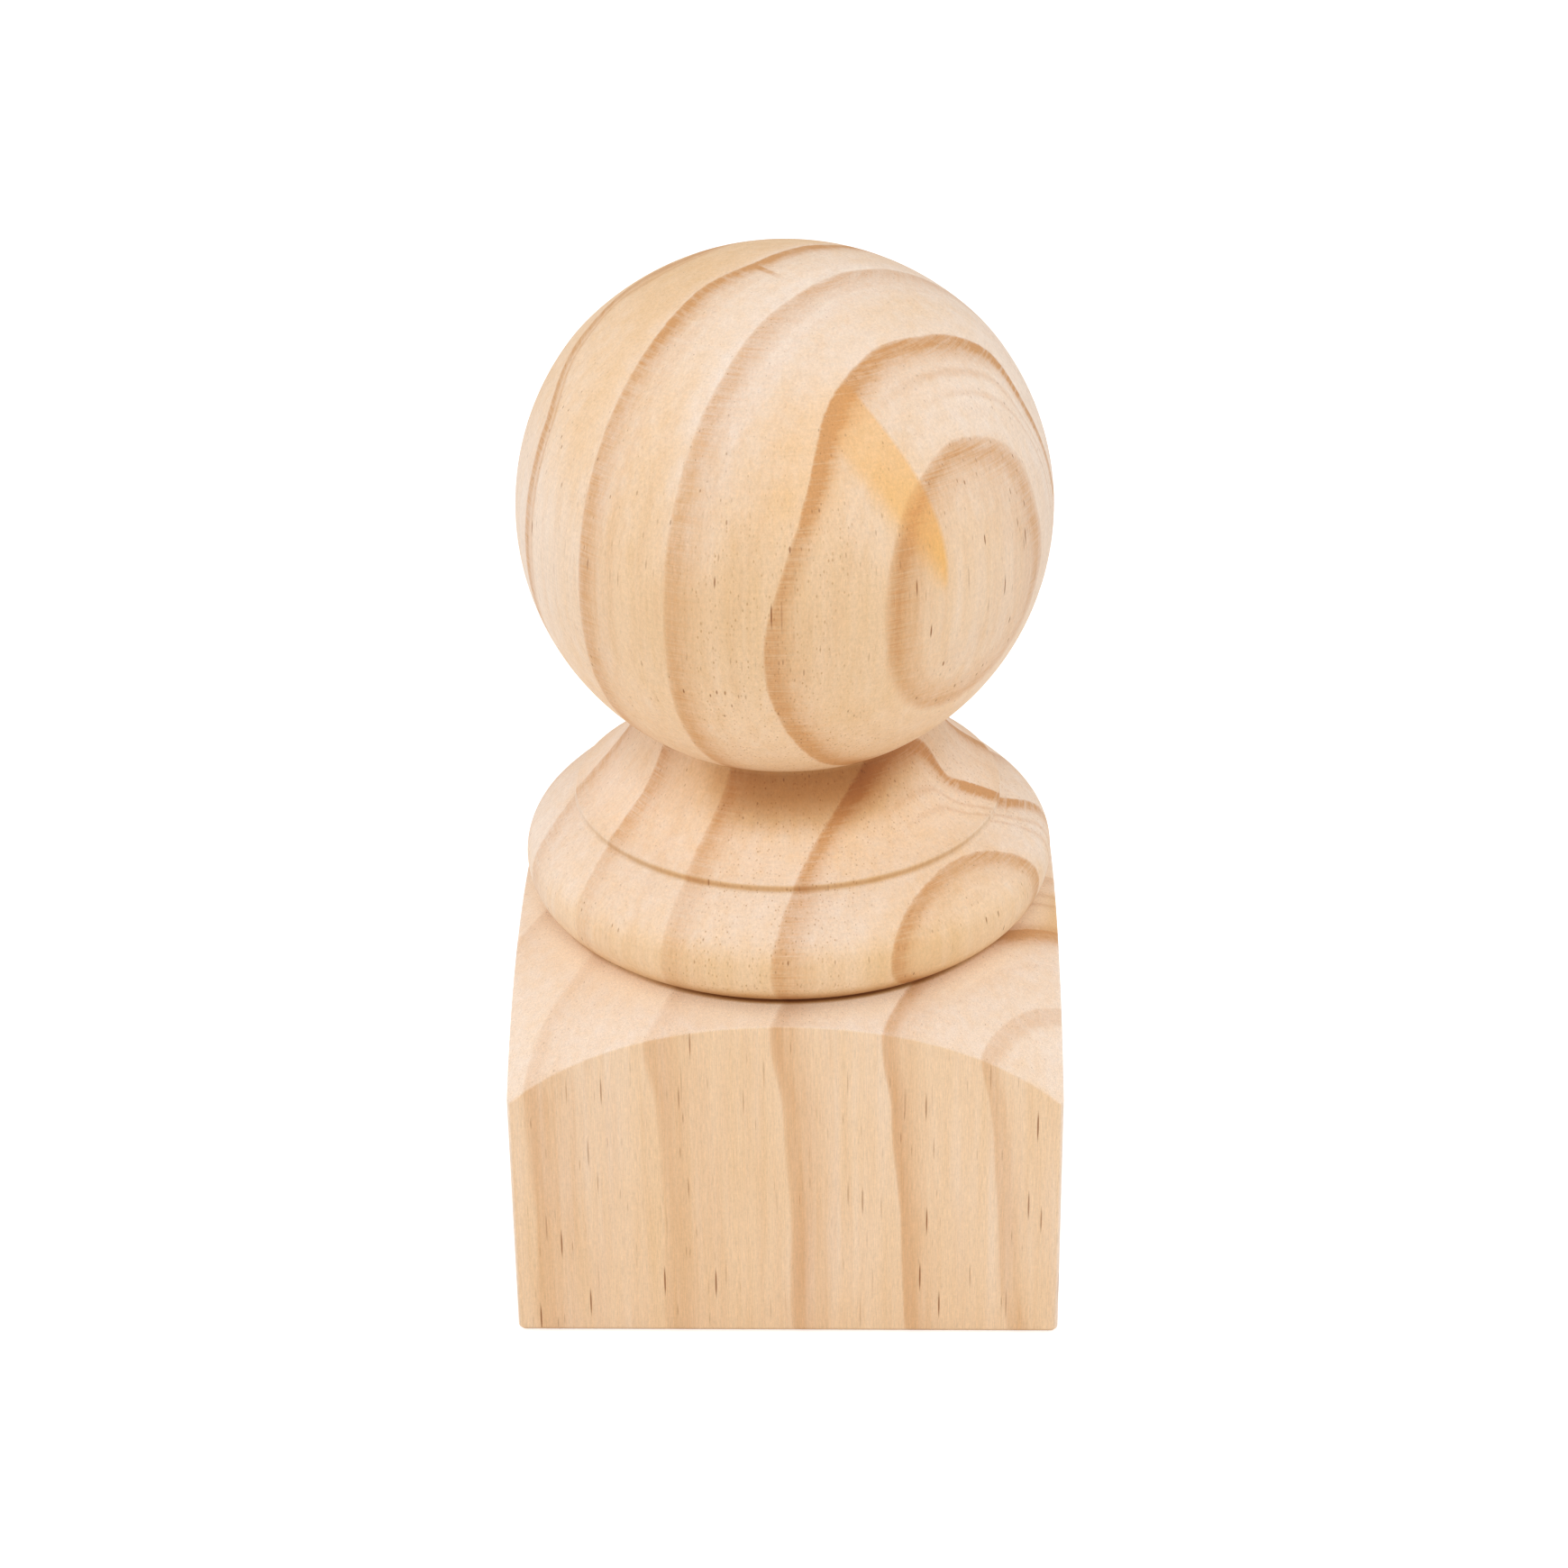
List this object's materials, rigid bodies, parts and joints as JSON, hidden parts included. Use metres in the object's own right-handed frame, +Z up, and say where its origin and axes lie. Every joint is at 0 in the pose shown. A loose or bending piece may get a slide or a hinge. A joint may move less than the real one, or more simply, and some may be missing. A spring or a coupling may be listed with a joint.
{
  "type": "ball top post cap",
  "caption": "Turned softwood cap for a square timber post: a ball on a cove, a fillet and a bead, above a square block with a domed shoulder.",
  "frame": {"origin": "centre of the base of the block, on the surface it stands on", "axes": "+Z up along the lathe axis, from the base to the crown of the ball; +X and +Y square to the faces of the block, with the front face towards -Y"},
  "size_m": [0.09, 0.09, 0.173],
  "materials": {
    "pine": "bare planed and sanded softwood, matt"
  },
  "bodies": {
    "root": {"post_cap": "pine"}
  },
  "joints": []
}
